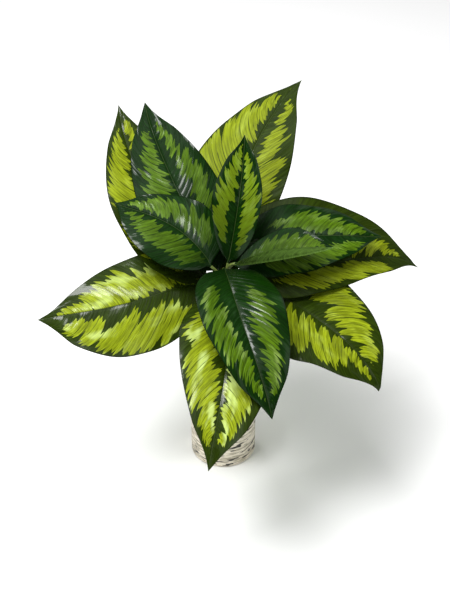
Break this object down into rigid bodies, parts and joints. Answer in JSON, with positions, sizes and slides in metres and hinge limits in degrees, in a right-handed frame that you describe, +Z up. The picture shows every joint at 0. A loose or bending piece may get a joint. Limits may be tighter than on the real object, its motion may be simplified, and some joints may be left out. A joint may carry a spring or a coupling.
{
  "type": "potted calathea princeps",
  "caption": "Potted foliage plant: a rosette of broad pointed leaves with feathered yellow-green bands, on slender stalks in a small round streaked pot.",
  "frame": {"origin": "centre of the pot's flat underside, on the surface that it stands on", "axes": "+Z up along the pot's axis; the picture's viewer stands on the -Y side; +X is the viewer's right"},
  "size_m": [0.55, 0.522, 0.5135],
  "materials": {
    "pot_glaze": "satin",
    "potting_soil": "matte",
    "leaf_pale": "satin",
    "leaf_dark": "satin"
  },
  "bodies": {
    "root": {"pot": "pot_glaze", "soil": "potting_soil", "leaf_back_right": "leaf_pale", "leaf_back_left": "leaf_pale", "leaf_side_left": "leaf_pale", "leaf_front": "leaf_pale", "leaf_front_right": "leaf_pale", "leaf_side_right": "leaf_pale", "leaf_upper_back_left": "leaf_dark", "leaf_upright": "leaf_dark", "leaf_upper_left": "leaf_dark", "leaf_upper_front": "leaf_dark", "leaf_upper_right": "leaf_dark", "leaf_young": "leaf_dark"}
  },
  "joints": []
}
